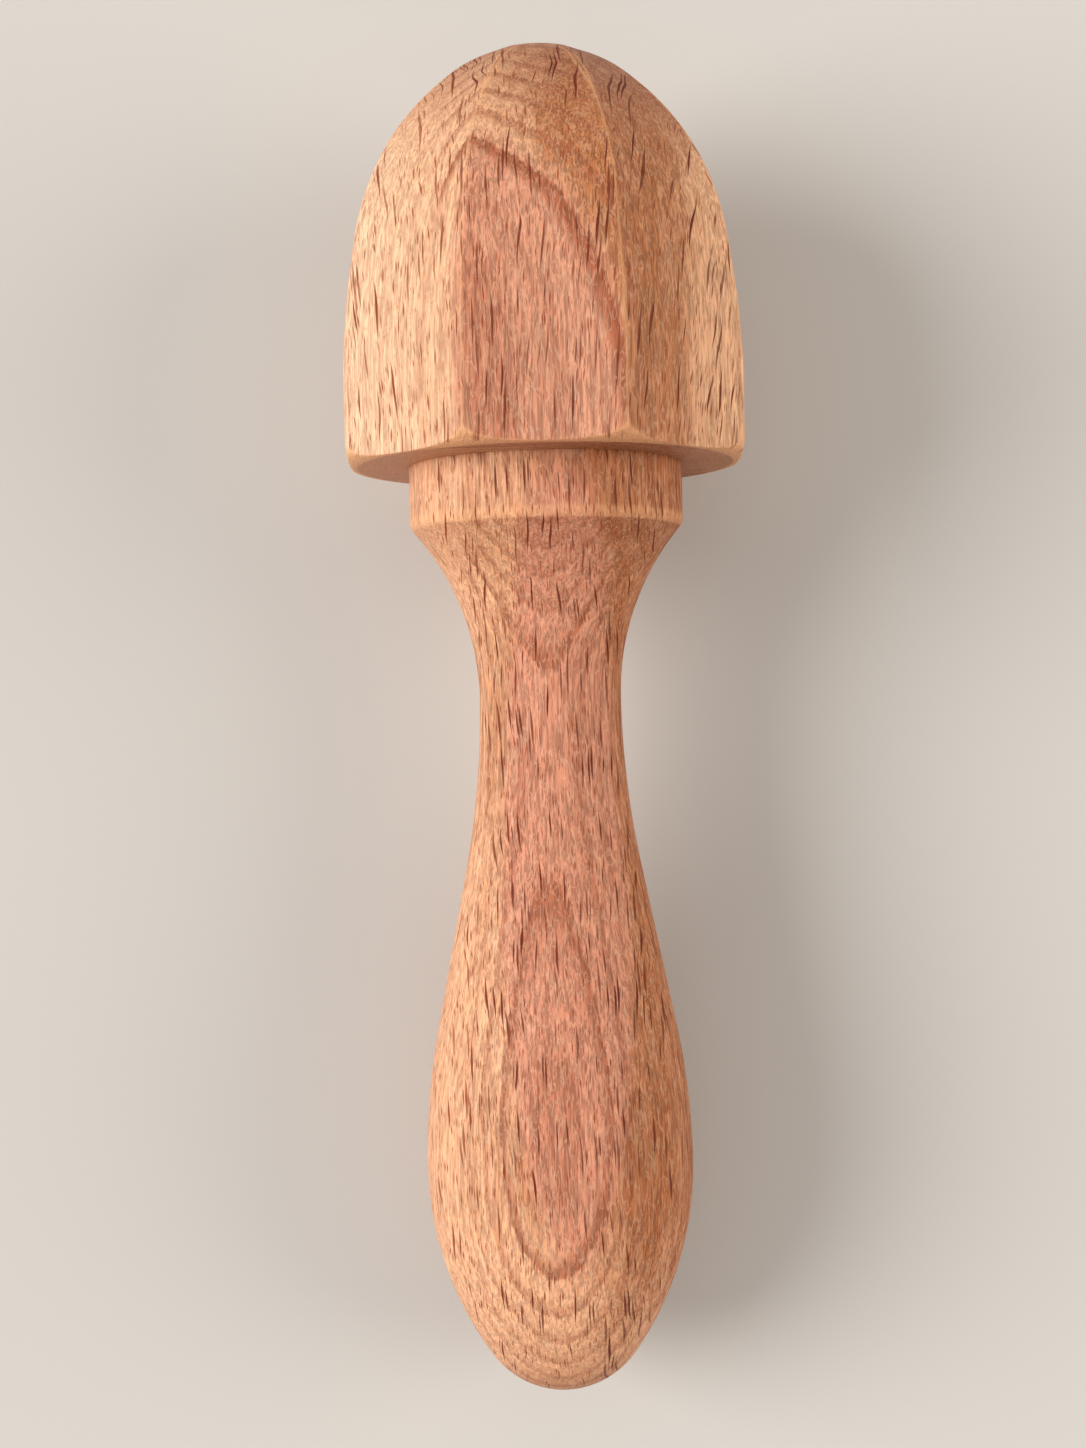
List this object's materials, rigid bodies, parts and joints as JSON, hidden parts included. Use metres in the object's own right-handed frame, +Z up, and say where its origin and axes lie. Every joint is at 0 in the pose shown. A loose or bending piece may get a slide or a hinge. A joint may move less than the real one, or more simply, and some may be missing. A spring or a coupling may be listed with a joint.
{
  "type": "citrus reamer",
  "caption": "Wooden hand reamer for citrus fruit: an eight-sided domed reaming head on a turned handle with a slim neck and a full grip, lying at rest.",
  "frame": {"origin": "on the table, under the middle of the reamer's length as it lies at rest", "axes": "+Z up from the table, +Y along the tool towards the tip of the reaming head, +X to the right of a viewer who looks down with the head pointing away"},
  "size_m": [0.048, 0.1652, 0.0489],
  "materials": {
    "head_wood": "satin, unvarnished steamed beech with short dark rays",
    "handle_wood": "satin, unvarnished steamed beech with short dark rays",
    "dowel_wood": "plain machined beech with pressed glue flutes"
  },
  "bodies": {
    "root": {"reamer_head": "head_wood", "handle": "handle_wood", "joint_dowel": "dowel_wood"}
  },
  "joints": []
}
